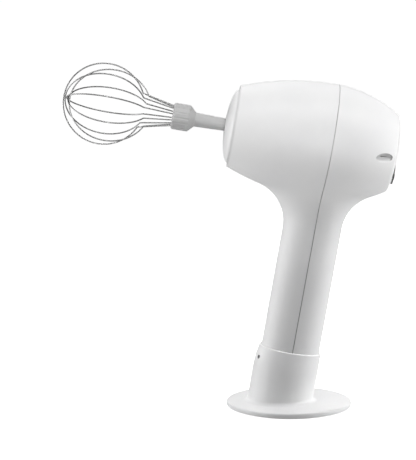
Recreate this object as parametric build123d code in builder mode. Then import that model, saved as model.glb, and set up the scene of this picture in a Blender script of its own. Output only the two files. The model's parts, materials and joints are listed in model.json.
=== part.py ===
from build123d import *
import os
from math import acos, asin, cos, degrees, pi, radians, sin, sqrt, tan

# Cordless pistol-grip hand mixer with a balloon whisk, standing in a round-footed holder.
# World frame: +Z up, origin at the centre of the foot on the table, whisk towards -X.
# Mixer frame: s runs rearward along the whisk axis from the nose rim, v runs up the handle,
# and both lie in the plane of symmetry Y = 0. Sizes are in millimetres and degrees.

# Stance of the mixer in its holder
tilt = 9.8
socket_x = -5.9
seat_lift = 12.9

# Head shell, a body of revolution about the whisk axis
head_length = 107.4
nose_radius = 26.5
waist_radius = 38.1
waist_s = 61.0
tail_radius = 25.0
tail_crown = 3.2
tail_round = 2.5
wall = 2.4
least_round = 0.4

# Handle, an upright oval across the head
handle_s = 61.8
handle_reach = 164.0
handle_half_width = 19.1
handle_half_depth = 17.0
neck_round = 27.0
handle_end_round = 3.0

# Parting line between the two housing shells, with a tongue inside the seam
parting_offset = 0.6
seam_gap = 0.4
tongue_length = 2.0
tongue_inset = 1.2
tongue_fit = 0.1

# Air vents, one scooped oval with a slit on each side of the tail, deepest along its top
vent_setback = 10.4
vent_drop = 0.7
vent_length = 12.4
vent_height = 5.8
vent_roll = 6.0
vent_depth = 1.5
vent_tilt = 22.0
vent_floor = 1.2
vent_slit_length = 4.6
vent_slit_height = 0.4

# Nose cap, the rim round it and the web that it seats on
nose_rim = 2.0
cap_fit = 0.5
cap_rise = 5.8
cap_skirt = 2.6
cap_wall = 1.8
cap_boss_lip = 1.0
cap_boss_back = 3.0
web = 3.0
web_clear = 6.4

# Lip seal in the nose cap
seal_body = 1.9
seal_lip = 1.8
seal_flange = 0.8
seal_fit = 0.15
seal_setback = 0.5

# Planetary gears: sun on the motor, three planets, fixed ring, carrier on the whisk
gear_module = 1.0
sun_teeth = 12
planet_teeth = 12
planet_count = 3
pressure_angle = 25.0
addendum = 0.8
dedendum = 1.05
backlash = 0.12
flank_steps = 4
gear_width = 7.0
gear_end_gap = 0.35
first_planet_angle = 90.0

# Gearbox casing
gear_wall = 3.0
gear_flange = 3.55
ring_rim = 1.2
ring_end_gap = 0.6
gear_tube_wall = 1.2
bush_wall = 2.0
bush_boss_wall = 2.1
running_fit = 0.04

# Carrier, its thrust washer and the hexagon drive socket
drive_shaft_radius = 4.5
drive_setback = 1.0
washer = 0.5
washer_width = 3.5
thrust_gap = 0.05
carrier_plate = 3.0
carrier_rim = 3.2
pin_radius = 1.5
end_ring = 1.2
end_ring_clear = 1.6
hex_across_flats = 5.0
hex_fit = 0.15
hex_floor = 1.5

# Motor
plate = 2.0
motor_radius = 14.0
motor_length = 38.0
motor_wall = 1.0
motor_front_wall = 1.5
motor_boss_radius = 5.0
motor_bush_radius = 3.0
shaft_radius = 1.15
shaft_end_gap = 0.4
magnet = 2.4
magnet_length = 24.0
magnet_split = 10.0
magnet_setback = 6.5
air_gap = 0.4
armature_slots = 3
armature_slot = 2.2
armature_core_radius = 4.2
commutator_radius = 3.0
commutator_length = 3.5
commutator_gap = 0.8
bell = 4.0
bell_boss_radius = 4.5
bell_boss = 2.0
terminal_spread = 9.0
terminal_width = 3.0
terminal_thickness = 0.6
terminal_length = 5.5

# Screws and their bosses
gear_screw_radius = 1.0
gear_screw_head_radius = 1.5
gear_screw_head = 1.4
gear_screw_count = 4
gear_screw_tip_gap = 0.2
plate_boss_radius = 2.4
plate_boss_offset = 1.4
plate_screw_length = 8.0
motor_screw_radius = 1.2
motor_screw_head_radius = 2.1
motor_screw_head = 1.2
motor_screw_offset = 3.0
motor_screw_count = 2
case_screw_radius = 1.3
case_screw_head_radius = 2.3
case_screw_head = 1.6
case_screw_fit = 0.2
case_screw_length = 18.0
case_screw_seat = 8.5
case_screw_drop = 4.0
case_boss_radius = 3.4
case_boss_gap = 0.4
board_screw_radius = 1.0
board_screw_head_radius = 1.8
board_screw_head = 1.3
board_screw_length = 6.5

# Control panel on the tail
bezel_drop = 13.0
bezel_height = 13.6
bezel_width = 10.0
bezel_proud = 0.25
bezel_fit = 0.15
bezel_flange = 1.2
bezel_lip = 1.5
bezel_round = 0.5
collar_lip = 2.2
collar_depth = 6.4
button_drop = 1.7
button_radius = 2.3
button_fit = 0.15
button_proud = 0.6
button_travel = 0.9
button_flange = 1.3
button_lip = 1.0
button_gap = 0.1
button_round = 0.4
lamp_lift = 4.3
lamp_radius = 0.9
lamp_lip = 0.6
lamp_flange = 1.0
led_size = 1.9
led_height = 1.0
led_gap = 0.3

# Control board behind the panel
board = 1.6
board_half_width = 9.4
board_above = 20.5
board_below = 11.5
board_round = 2.0
post_radius = 2.3
post_side = 7.2
post_margin_top = 3.0
post_margin_bottom = 4.0
switch_size = 6.2
switch_height = 3.5
switch_gap = 1.3
plunger_radius = 1.75
plunger_fit = 0.1
plunger_depth = 1.3
plunger_floor_gap = 0.3
chip_size = 7.0
chip_height = 1.4
chip_drop = 16.0

# Battery cell and charging board, stacked up from the handle's end
cell_radius = 9.2
cell_length = 65.0
cell_nub_radius = 3.0
cell_nub = 0.8
cradle_wall = 1.9
cradle_end = 1.6
cradle_fit = 0.1
rib = 2.0
rib_margin = 14.0
charge_board_clear = 0.6
charge_board_length = 13.0
charge_board_half_width = 6.0
charge_board_gap = 2.6
charge_post_side = 3.6
charge_post_drop = 3.0
charge_post_radius = 2.0
port_width = 9.0
port_height = 3.2
port_length = 7.4
port_shell = 0.3
port_flat = 0.1
port_setback = 0.4
port_fit = 0.2
port_back = 1.5
port_tongue = 0.7
port_tongue_width = 6.7
port_tongue_setback = 1.0

# Internal leads
lead_radius = 0.7
lead_bend = 4.0
lead_run = 7.0
motor_lead_spread = 4.0
battery_lead_side = 3.0
battery_lead_forward = 4.0
battery_lead_rise = 17.5
battery_lead_knee = 30.0
battery_lead_landing = 5.0

# Balloon whisk
wire_radius = 0.45
loop_count = 5
loop_step = 1.0
first_loop_angle = 88.4
balloon_radius = 26.2
balloon_reach = 110.95
kink_radius = 11.1
kink_round = 1.5
wire_margin = 2.1
wire_depth = 7.0
wire_fit = 0.02
collar_radius = 8.6
collar_reach = 40.0
collar_length = 10.8
collar_cone = 4.0
collar_chamfer = 0.9
flute_count = 16
flute_radius = 1.1
flute_depth = 0.3
stem_radius = 4.1
stem_root_radius = 4.65
stem_end_gap = 0.4
stem_straight = 5.0
hex_embed = 12.0
hex_tip_gap = 0.6
grip_ring_s = 4.0
grip_ring_wire = 0.35
grip_ring_proud = 0.1
grip_groove_side = 0.06

# Stand with its socket and foot
foot_radius = 41.0
foot_height = 4.2
foot_round = 1.1
sleeve_height = 26.6
sleeve_front_wall = 2.7
sleeve_back_wall = 1.1
sleeve_lip = 0.9
rim_round = 0.7
sleeve_flare = 14.0
sleeve_sections = 4
sleeve_root_round = 2.5
socket_fit = 0.3
socket_floor = 2.4
socket_ledge = 2.0
pad_margin = 4.0
pad = 2.0
pad_proud = 1.0
pad_fit = 0.2
key_hole_radius = 1.25
key_hole_depth = 1.6
key_hole_drop = 7.7
key_hole_side = 7.8

os.makedirs("parts", exist_ok=True)

# Frame of the mixer
lean = radians(tilt)
rearward = Vector(cos(lean), 0, -sin(lean))
upward = Vector(sin(lean), 0, cos(lean))
sideways = Vector(0, 1, 0)
handle_end = Vector(socket_x, 0, 0) + upward * seat_lift
nose_centre = handle_end + upward * handle_reach - rearward * handle_s
side_plane = Plane(nose_centre, x_dir=rearward, z_dir=-sideways)
whisk_axis = Axis(nose_centre, rearward)

# Places along the whisk axis, from the nose to the motor's end
web_back = cap_skirt + web
gear_front = web_back + gear_wall
washer_back = gear_front + thrust_gap + washer
carrier_back = washer_back + carrier_plate
planet_front = carrier_back + gear_end_gap
planet_back = planet_front + gear_width
end_ring_front = planet_back + gear_end_gap
end_ring_back = end_ring_front + end_ring
plate_front = end_ring_back + gear_end_gap + motor_screw_head
motor_front = plate_front + plate
motor_back = motor_front + motor_length
bell_back = motor_back + bell
shaft_back = bell_back + bell_boss

# Places along the whisk axis, from the tail inward
tail_s = head_length - tail_crown
vent_s = head_length - vent_setback
bezel_face = head_length + bezel_proud
collar_back = head_length - collar_depth
bezel_back = collar_back - bezel_flange
button_back = bezel_back - button_gap - button_flange
switch_top = button_back - switch_gap
board_back = switch_top - switch_height
board_front = board_back - board
parting_s = handle_s + parting_offset
rear_edge = parting_s + seam_gap

# Places on the control panel, up the handle's direction
bezel_v = -bezel_drop
button_v = bezel_v - button_drop
lamp_v = bezel_v + lamp_lift
board_top_v = bezel_v + board_above
board_bottom_v = bezel_v - board_below
post_places = [
    (side * post_side, v)
    for side in (-1, 1)
    for v in (board_top_v - post_margin_top, board_bottom_v + post_margin_bottom)
]

# Places down the handle, stacked up from its end
charge_bottom_v = wall + charge_board_clear - handle_reach
charge_top_v = charge_bottom_v + charge_board_length
cradle_bottom_v = charge_top_v + charge_board_gap
cell_bottom_v = cradle_bottom_v + cradle_end + cradle_fit
cell_top_v = cell_bottom_v + cell_length
cradle_top_v = cell_top_v + cell_nub + cradle_fit + cradle_end
rib_places = (cradle_top_v - rib_margin, cradle_bottom_v + rib_margin)
charge_front = handle_s - board / 2
charge_back = charge_front + board
charge_post_v = charge_top_v - charge_post_drop
case_screw_v = charge_top_v - case_screw_drop
case_screw_side = charge_board_half_width + case_boss_gap + case_boss_radius
case_seat_s = handle_s + case_screw_seat
rim_v = sleeve_height - handle_reach

# Radii that follow from the fits
cap_radius = nose_radius - nose_rim - cap_fit
seal_bore = stem_radius + seal_fit
seal_radius = seal_bore + seal_body
seal_flange_radius = seal_radius + seal_lip
cap_boss_radius = seal_flange_radius + cap_boss_lip
drive_bore = drive_shaft_radius + running_fit
bush_radius = drive_bore + bush_wall
bush_boss_radius = bush_radius + bush_boss_wall
web_bore = bush_boss_radius + web_clear
cradle_bore = cell_radius + cradle_fit
cradle_radius = cradle_bore + cradle_wall
ring_teeth = sun_teeth + 2 * planet_teeth
sun_pitch = gear_module * sun_teeth / 2
planet_pitch = gear_module * planet_teeth / 2
ring_pitch = gear_module * ring_teeth / 2
orbit = sun_pitch + planet_pitch
carrier_radius = orbit + carrier_rim
ring_outer = ring_pitch + gear_module * dedendum + ring_rim
gear_tube_radius = ring_outer + gear_tube_wall
gear_flange_radius = gear_tube_radius + gear_flange
gear_screw_ring = (gear_tube_radius + gear_flange_radius) / 2
plate_screw_ring = gear_tube_radius + plate_boss_offset
motor_screw_ring = motor_boss_radius + motor_screw_offset
motor_bore = motor_radius - motor_wall
armature_radius = motor_bore - magnet - air_gap
wire_entry_radius = collar_radius - wire_margin
pad_radius = foot_radius - pad_margin


def at(s, v=0.0, y=0.0):
    """World point of a place in the mixer frame."""
    return nose_centre + rearward * s + upward * v + sideways * y


def head_plane(s, v=0.0, y=0.0):
    """Plane across the whisk axis: x is sideways, y is up the handle, z is rearward."""
    return Plane(at(s, v, y), x_dir=sideways, z_dir=rearward)


def handle_plane(v, s=handle_s):
    """Plane across the handle: x is rearward, y is sideways, z is up the handle."""
    return Plane(at(s, v), x_dir=rearward, z_dir=upward)


def ring_places(count, radius, start_angle):
    """Sideways and upward offsets of places spread evenly round the whisk axis."""
    angles = [radians(start_angle + 360 * k / count) for k in range(count)]
    return [(radius * cos(angle), radius * sin(angle)) for angle in angles]


def rod(plane, radius, length, mode=Mode.ADD):
    """Round bar standing on a plane."""
    with BuildSketch(plane) as outline:
        Circle(radius)
    extrude(outline.sketch, amount=length, mode=mode)


def tube(plane, outer, inner, length, mode=Mode.ADD):
    """Round tube standing on a plane."""
    with BuildSketch(plane) as outline:
        Circle(outer)
        Circle(inner, mode=Mode.SUBTRACT)
    extrude(outline.sketch, amount=length, mode=mode)


def oval(plane, half_width, half_depth, length, mode=Mode.ADD):
    """Oval bar standing on a plane."""
    with BuildSketch(plane) as outline:
        Ellipse(half_width, half_depth)
    extrude(outline.sketch, amount=length, mode=mode)


def block(plane, width, height, length, mode=Mode.ADD):
    """Rectangular bar standing on a plane."""
    with BuildSketch(plane) as outline:
        Rectangle(width, height)
    extrude(outline.sketch, amount=length, mode=mode)


def round_block(plane, width, height, length, corner, mode=Mode.ADD):
    """Rectangular bar with rounded corners, standing on a plane."""
    with BuildSketch(plane) as outline:
        RectangleRounded(width, height, corner)
    extrude(outline.sketch, amount=length, mode=mode)


def pill(plane, length, width, depth, mode=Mode.ADD):
    """Bar with two round ends, long along the plane's y axis."""
    with BuildSketch(plane) as outline:
        SlotOverall(length, width, rotation=90)
    extrude(outline.sketch, amount=depth, mode=mode)


def hexagon(plane, across_flats, length, mode=Mode.ADD):
    """Hexagonal bar standing on a plane."""
    with BuildSketch(plane) as outline:
        RegularPolygon(across_flats / 2, 6, major_radius=False)
    extrude(outline.sketch, amount=length, mode=mode)


def lead(*points):
    """Insulated wire along a route of straight runs joined by arcs."""
    with BuildLine() as route:
        FilletPolyline(*points, radius=lead_bend)
    with BuildSketch(Plane(points[0], z_dir=points[1] - points[0])) as section:
        Circle(lead_radius)
    sweep(section.sketch, path=route.wire())


def finish_part(builder, name):
    """Label a finished piece and write it."""
    builder.part.label = name
    export_step(builder.part, f"parts/{name}.step")


def mixer_form(inset):
    """Whole outer form of the mixer, drawn in by a distance all over."""
    with BuildPart() as form:
        with BuildSketch(side_plane) as profile:
            with BuildLine():
                waist = (waist_s, waist_radius - inset)
                front = TangentArc(waist, (0, nose_radius - inset), tangent=(-1, 0))
                tail = TangentArc(waist, (tail_s - inset, tail_radius - inset), tangent=(1, 0))
                back = TangentArc((head_length - inset, 0), tail @ 1, tangent=(0, 1))
                Line(back @ 0, (0, 0))
                Line((0, 0), front @ 1)
            make_face()
            corner = profile.vertices().sort_by_distance(tail @ 1)[0]
            fillet(corner, max(tail_round - inset, least_round))
        revolve(axis=whisk_axis)
        with BuildSketch(handle_plane(inset - handle_reach)):
            Ellipse(handle_half_width - inset, handle_half_depth - inset)
        extrude(amount=handle_reach - inset)
        fillet(form.edges(Select.NEW), neck_round + inset)
        handle_foot = form.faces().sort_by(Axis(nose_centre, upward))[0]
        fillet(handle_foot.edges(), max(handle_end_round - inset, least_round))
    return form.part


def handle_rib(v, bore):
    """Wall across the inside of the handle, with a round bore for the battery."""
    with BuildSketch(handle_plane(v - rib / 2)) as outline:
        Ellipse(handle_half_width - wall / 2, handle_half_depth - wall / 2)
        Circle(bore, mode=Mode.SUBTRACT)
    extrude(outline.sketch, amount=rib)


def involute(angle):
    """Involute function of a pressure angle in radians."""
    return tan(angle) - angle


def gear_outline(teeth, outward, inward, thicker, phase):
    """Corner points of a spur gear, its teeth reaching outward and inward of the pitch circle."""
    pressure = radians(pressure_angle)
    pitch = gear_module * teeth / 2
    base = pitch * cos(pressure)
    tip = pitch + gear_module * outward
    root = pitch - gear_module * inward
    flank_foot = max(base, root)
    half_tooth = pi / (2 * teeth) + thicker / (2 * pitch)
    flank = []
    for step in range(flank_steps + 1):
        radius = flank_foot + (tip - flank_foot) * step / flank_steps
        flank.append((radius, half_tooth + involute(pressure) - involute(acos(base / radius))))
    if root < flank_foot:
        flank.insert(0, (root, flank[0][1]))
    points = []
    for tooth in range(teeth):
        middle = radians(phase) + 2 * pi * tooth / teeth
        for radius, half_angle in flank:
            points.append((radius * cos(middle - half_angle), radius * sin(middle - half_angle)))
        for radius, half_angle in reversed(flank):
            points.append((radius * cos(middle + half_angle), radius * sin(middle + half_angle)))
    return points


def spur_gear(plane, teeth, phase, bore, width):
    """Outside gear with a plain bore, standing on a plane."""
    with BuildSketch(plane) as outline:
        Polygon(*gear_outline(teeth, addendum, dedendum, -backlash, phase))
        Circle(bore, mode=Mode.SUBTRACT)
    extrude(outline.sketch, amount=width)


outer_form = mixer_form(0)
inner_form = mixer_form(wall)
half_form = mixer_form(wall / 2)
planet_places = ring_places(planet_count, orbit, first_planet_angle)
flange_screw_places = ring_places(gear_screw_count, gear_screw_ring, 0)
plate_screw_places = ring_places(gear_screw_count, plate_screw_ring, 180 / gear_screw_count)
motor_screw_places = ring_places(motor_screw_count, motor_screw_ring, 0)
case_screw_sides = (-case_screw_side, case_screw_side)
charge_post_sides = (-charge_post_side, charge_post_side)
port_plane = handle_plane(port_setback - handle_reach, charge_back + port_height / 2)
port_corner = port_height / 2 - port_flat


# Front housing: nose, front of the head and front half of the handle
with BuildPart() as front_fittings:
    tube(head_plane(cap_skirt), waist_radius, web_bore, web)
    for y in case_screw_sides:
        rod(head_plane(0, case_screw_v, y), case_boss_radius, parting_s)
    for y in charge_post_sides:
        rod(head_plane(0, charge_post_v, y), charge_post_radius, charge_front)
    add(half_form, mode=Mode.INTERSECT)

with BuildPart() as seam_rebate:
    add(mixer_form(tongue_inset))
    split(bisect_by=head_plane(parting_s - tongue_length - tongue_fit), keep=Keep.TOP)
    split(bisect_by=head_plane(parting_s), keep=Keep.BOTTOM)

with BuildPart() as front_housing:
    add(outer_form)
    add(inner_form, mode=Mode.SUBTRACT)
    for v in rib_places:
        handle_rib(v, cradle_radius)
    split(bisect_by=head_plane(parting_s), keep=Keep.BOTTOM)
    add(seam_rebate.part, mode=Mode.SUBTRACT)
    add(front_fittings.part)
    rod(head_plane(0), cap_radius + cap_fit, cap_skirt, mode=Mode.SUBTRACT)
    for y, v in flange_screw_places:
        rod(head_plane(cap_skirt, v, y), gear_screw_radius, web, mode=Mode.SUBTRACT)
    for y in case_screw_sides:
        pilot = head_plane(case_seat_s - case_screw_length, case_screw_v, y)
        rod(pilot, case_screw_radius, case_screw_length, mode=Mode.SUBTRACT)
    for y in charge_post_sides:
        pilot = head_plane(charge_back - board_screw_length, charge_post_v, y)
        rod(pilot, board_screw_radius, board_screw_length, mode=Mode.SUBTRACT)
    round_block(port_plane.offset(-wall), port_height + 2 * port_fit, port_width + 2 * port_fit,
                port_length, port_corner, mode=Mode.SUBTRACT)
finish_part(front_housing, "front_housing")


# Rear housing: back of the head with the control panel, and back half of the handle
tail_arc = ((tail_s - waist_s) ** 2 + (waist_radius - tail_radius) ** 2) / (2 * (waist_radius - tail_radius))
vent_angle = asin((vent_s - waist_s) / tail_arc)
vent_y = waist_radius - tail_arc + tail_arc * cos(vent_angle)
vent_back = vent_depth + vent_height / 2 * tan(radians(vent_tilt)) + vent_floor


def vent_outward(side):
    """Direction square to the surface at a vent."""
    return rearward * sin(vent_angle) + sideways * (side * cos(vent_angle))


def vent_plane(side, lift, drop=0.0, slope=0.0):
    """Plane on the side of the tail, square to the surface or sloped up, with y along the vent."""
    outward = vent_outward(side)
    backward = rearward * cos(vent_angle) - sideways * (side * sin(vent_angle))
    rise = upward * cos(radians(vent_roll)) - backward * sin(radians(vent_roll))
    lean_back = radians(slope)
    facing = outward * cos(lean_back) + rise * sin(lean_back)
    origin = at(vent_s, -drop, side * vent_y) + outward * lift
    return Plane(origin, x_dir=rise * cos(lean_back) - outward * sin(lean_back), z_dir=facing)


def vent_scoop(side):
    """Cut of a vent: an oval square to the surface, over a floor that slopes up to its lower edge."""
    with BuildSketch(vent_plane(side, -vent_depth, vent_drop, vent_tilt)) as outline:
        Ellipse(vent_height / 2 / cos(radians(vent_tilt)), vent_length / 2)
    extrude(outline.sketch, amount=2 * vent_back, dir=vent_outward(side), mode=Mode.SUBTRACT)


with BuildPart() as seam_tongue:
    add(mixer_form(tongue_inset + tongue_fit))
    split(bisect_by=head_plane(parting_s - tongue_length), keep=Keep.TOP)
    split(bisect_by=head_plane(rear_edge + tongue_length), keep=Keep.BOTTOM)
    add(inner_form, mode=Mode.SUBTRACT)
    for y in case_screw_sides:
        rod(head_plane(parting_s - tongue_length, case_screw_v, y), case_boss_radius + tongue_fit,
            tongue_length + seam_gap, mode=Mode.SUBTRACT)

with BuildPart() as rear_fittings:
    for y in case_screw_sides:
        rod(head_plane(rear_edge, case_screw_v, y), case_boss_radius, head_length - rear_edge)
    for y, v in post_places:
        rod(head_plane(board_back, v, y), post_radius, collar_depth + collar_back - board_back)
    pill(head_plane(collar_back, bezel_v), bezel_height + 2 * collar_lip, bezel_width + 2 * collar_lip,
         collar_depth)
    for side in (-1, 1):
        oval(vent_plane(side, -vent_back, vent_drop), vent_height / 2 + vent_floor,
             vent_length / 2 + vent_floor, vent_back)
    add(half_form, mode=Mode.INTERSECT)

with BuildPart() as rear_housing:
    add(outer_form)
    add(inner_form, mode=Mode.SUBTRACT)
    for v in rib_places:
        handle_rib(v, cradle_bore)
    split(bisect_by=head_plane(rear_edge), keep=Keep.TOP)
    add(seam_tongue.part)
    add(rear_fittings.part)
    pill(head_plane(collar_back, bezel_v), bezel_height + 2 * bezel_fit, bezel_width + 2 * bezel_fit,
         collar_depth, mode=Mode.SUBTRACT)
    for side in (-1, 1):
        vent_scoop(side)
        pill(vent_plane(side, -2 * vent_back), vent_slit_length, vent_slit_height, 2 * vent_back,
             mode=Mode.SUBTRACT)
    for y in case_screw_sides:
        rod(head_plane(rear_edge, case_screw_v, y), case_screw_radius + case_screw_fit,
            case_seat_s - rear_edge, mode=Mode.SUBTRACT)
        rod(head_plane(case_seat_s, case_screw_v, y), case_screw_head_radius + case_screw_fit,
            handle_half_width, mode=Mode.SUBTRACT)
    for y, v in post_places:
        rod(head_plane(board_front, v, y), board_screw_radius, board_screw_length, mode=Mode.SUBTRACT)
    round_block(port_plane.offset(-wall), port_height + 2 * port_fit, port_width + 2 * port_fit,
                port_length, port_corner, mode=Mode.SUBTRACT)
finish_part(rear_housing, "rear_housing")


# Nose cap: a shallow dome with a short skirt and a boss round the whisk's hole
def dome(rise, radius, back, mode=Mode.ADD):
    """Solid dome about the whisk axis, with a straight skirt behind it."""
    with BuildSketch(side_plane) as outline:
        with BuildLine():
            crown = EllipticalCenterArc((0, 0), rise, radius, start_angle=90, arc_size=90)
            Polyline(crown @ 1, (back, 0), (back, radius), crown @ 0)
        make_face()
    revolve(outline.sketch, axis=whisk_axis, mode=mode)


with BuildPart() as nose_cap:
    dome(cap_rise, cap_radius, cap_skirt)
    dome(cap_rise - cap_wall, cap_radius - cap_wall, cap_skirt, mode=Mode.SUBTRACT)
    boss_front = -cap_rise + cap_wall / 2
    rod(head_plane(boss_front), cap_boss_radius, -cap_boss_back - boss_front)
    rod(head_plane(-2 * cap_rise), seal_radius, 2 * cap_rise, mode=Mode.SUBTRACT)
finish_part(nose_cap, "nose_cap")

with BuildPart() as nose_seal:
    seal_front = -cap_rise + seal_setback
    tube(head_plane(seal_front), seal_radius, seal_bore, -cap_boss_back - seal_front)
    tube(head_plane(-cap_boss_back), seal_flange_radius, seal_bore, seal_flange)
finish_part(nose_seal, "nose_seal")


# Gearbox casing, with the ring gear and the output bush pressed into it
with BuildPart() as gearbox_housing:
    tube_length = plate_front - gear_front
    rod(head_plane(web_back), gear_flange_radius, gear_wall)
    rod(head_plane(gear_front), gear_tube_radius, tube_length)
    for y, v in plate_screw_places:
        rod(head_plane(gear_front, v, y), plate_boss_radius, tube_length)
    rod(head_plane(gear_front), ring_outer, tube_length, mode=Mode.SUBTRACT)
    rod(head_plane(cap_skirt), bush_boss_radius, web)
    rod(head_plane(cap_skirt), bush_radius, web + gear_wall, mode=Mode.SUBTRACT)
    for y, v in flange_screw_places:
        rod(head_plane(web_back, v, y), gear_screw_radius, gear_wall, mode=Mode.SUBTRACT)
    for y, v in plate_screw_places:
        rod(head_plane(motor_front, v, y), gear_screw_radius, -plate_screw_length, mode=Mode.SUBTRACT)
finish_part(gearbox_housing, "gearbox_housing")

with BuildPart() as ring_gear:
    with BuildSketch(head_plane(carrier_back)):
        Circle(ring_outer)
        ring_phase = first_planet_angle + 180 / ring_teeth
        Polygon(*gear_outline(ring_teeth, dedendum, addendum, backlash, ring_phase), mode=Mode.SUBTRACT)
    extrude(amount=plate_front - ring_end_gap - carrier_back)
finish_part(ring_gear, "ring_gear")

with BuildPart() as output_bush:
    tube(head_plane(cap_skirt), bush_radius, drive_bore, web + gear_wall)
finish_part(output_bush, "output_bush")

with BuildPart() as gearbox_screws:
    for y, v in flange_screw_places:
        tip = cap_skirt + gear_screw_tip_gap
        rod(head_plane(tip, v, y), gear_screw_radius, gear_front - tip)
        rod(head_plane(gear_front, v, y), gear_screw_head_radius, gear_screw_head)
finish_part(gearbox_screws, "gearbox_screws")


# Carrier with its drive socket, pins and rear ring, turning in the output bush
with BuildPart() as planet_carrier:
    rod(head_plane(-drive_setback), drive_shaft_radius, washer_back + drive_setback)
    rod(head_plane(washer_back), carrier_radius, carrier_plate)
    hexagon(head_plane(-drive_setback), hex_across_flats + 2 * hex_fit,
            carrier_back - hex_floor + drive_setback, mode=Mode.SUBTRACT)
    for y, v in planet_places:
        rod(head_plane(washer_back, v, y), pin_radius, carrier_plate, mode=Mode.SUBTRACT)
finish_part(planet_carrier, "planet_carrier")

with BuildPart() as planet_pins:
    for y, v in planet_places:
        rod(head_plane(washer_back, v, y), pin_radius, end_ring_back - washer_back)
finish_part(planet_pins, "planet_pins")

with BuildPart() as carrier_ring:
    ring_bore = sun_pitch + gear_module * addendum + end_ring_clear
    tube(head_plane(end_ring_front), carrier_radius, ring_bore, end_ring)
    for y, v in planet_places:
        rod(head_plane(end_ring_front, v, y), pin_radius, end_ring, mode=Mode.SUBTRACT)
finish_part(carrier_ring, "carrier_ring")

with BuildPart() as thrust_washer:
    tube(head_plane(gear_front + thrust_gap), drive_bore + washer_width, drive_bore, washer)
finish_part(thrust_washer, "thrust_washer")

for index, (y, v) in enumerate(planet_places):
    with BuildPart() as planet_gear:
        planet_angle = first_planet_angle + 360 * index / planet_count
        planet_phase = planet_angle + 180 + 180 / planet_teeth
        spur_gear(head_plane(planet_front, v, y), planet_teeth, planet_phase,
                  pin_radius + running_fit, gear_width)
    finish_part(planet_gear, f"planet_gear_{index + 1}")


# Motor: plate, can, magnets, wound rotor on its shaft, and the end bell with its terminals
with BuildPart() as motor_plate:
    rod(head_plane(plate_front), gear_tube_radius, plate)
    for y, v in plate_screw_places:
        rod(head_plane(plate_front, v, y), plate_boss_radius, plate)
        rod(head_plane(plate_front, v, y), gear_screw_radius, plate, mode=Mode.SUBTRACT)
    for y, v in motor_screw_places:
        rod(head_plane(plate_front, v, y), motor_screw_radius, plate, mode=Mode.SUBTRACT)
    rod(head_plane(plate_front), motor_boss_radius, plate, mode=Mode.SUBTRACT)
finish_part(motor_plate, "motor_plate")

with BuildPart() as plate_screws:
    for y, v in plate_screw_places:
        rod(head_plane(motor_front, v, y), gear_screw_radius, -plate_screw_length)
        rod(head_plane(motor_front, v, y), gear_screw_head_radius, gear_screw_head)
finish_part(plate_screws, "plate_screws")

with BuildPart() as motor_screws:
    for y, v in motor_screw_places:
        rod(head_plane(plate_front, v, y), motor_screw_radius, plate + motor_front_wall)
        rod(head_plane(plate_front, v, y), motor_screw_head_radius, -motor_screw_head)
finish_part(motor_screws, "motor_screws")

with BuildPart() as motor_can:
    rod(head_plane(plate_front), motor_boss_radius, plate)
    rod(head_plane(motor_front), motor_radius, motor_length)
    rod(head_plane(motor_front + motor_front_wall), motor_bore, motor_length - motor_front_wall,
        mode=Mode.SUBTRACT)
    rod(head_plane(plate_front), motor_bush_radius, plate + motor_front_wall, mode=Mode.SUBTRACT)
    for y, v in motor_screw_places:
        rod(head_plane(motor_front, v, y), motor_screw_radius, motor_front_wall, mode=Mode.SUBTRACT)
finish_part(motor_can, "motor_can")

magnet_front = motor_front + magnet_setback
with BuildPart() as motor_magnets:
    with BuildSketch(head_plane(magnet_front)):
        Circle(motor_bore)
        Circle(motor_bore - magnet, mode=Mode.SUBTRACT)
        Rectangle(magnet_split, 2 * motor_radius, mode=Mode.SUBTRACT)
    extrude(amount=magnet_length)
finish_part(motor_magnets, "motor_magnets")

with BuildPart() as motor_armature:
    with BuildSketch(head_plane(magnet_front)):
        Circle(armature_radius)
        slot_length = armature_radius - armature_core_radius
        with PolarLocations(armature_core_radius + slot_length, armature_slots):
            Rectangle(2 * slot_length, armature_slot, mode=Mode.SUBTRACT)
        Circle(shaft_radius, mode=Mode.SUBTRACT)
    extrude(amount=magnet_length)
finish_part(motor_armature, "motor_armature")

with BuildPart() as commutator:
    tube(head_plane(magnet_front + magnet_length + commutator_gap), commutator_radius, shaft_radius,
         commutator_length)
finish_part(commutator, "commutator")

with BuildPart() as motor_shaft:
    rod(head_plane(planet_front), shaft_radius, shaft_back - shaft_end_gap - planet_front)
finish_part(motor_shaft, "motor_shaft")

with BuildPart() as sun_pinion:
    spur_gear(head_plane(planet_front), sun_teeth, first_planet_angle, shaft_radius,
              end_ring_front - planet_front)
finish_part(sun_pinion, "sun_pinion")

with BuildPart() as motor_end_bell:
    rod(head_plane(motor_back), motor_radius, bell)
    rod(head_plane(bell_back), bell_boss_radius, bell_boss)
    rod(head_plane(motor_back), motor_bush_radius, bell + bell_boss, mode=Mode.SUBTRACT)
finish_part(motor_end_bell, "motor_end_bell")

with BuildPart() as motor_bushes:
    tube(head_plane(plate_front), motor_bush_radius, shaft_radius + running_fit, plate + motor_front_wall)
    tube(head_plane(bell_back - bell_boss), motor_bush_radius, shaft_radius + running_fit, 2 * bell_boss)
finish_part(motor_bushes, "motor_bushes")

with BuildPart() as motor_terminals:
    for v in (-terminal_spread, terminal_spread):
        block(head_plane(bell_back, v), terminal_width, terminal_thickness, terminal_length)
finish_part(motor_terminals, "motor_terminals")


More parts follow.
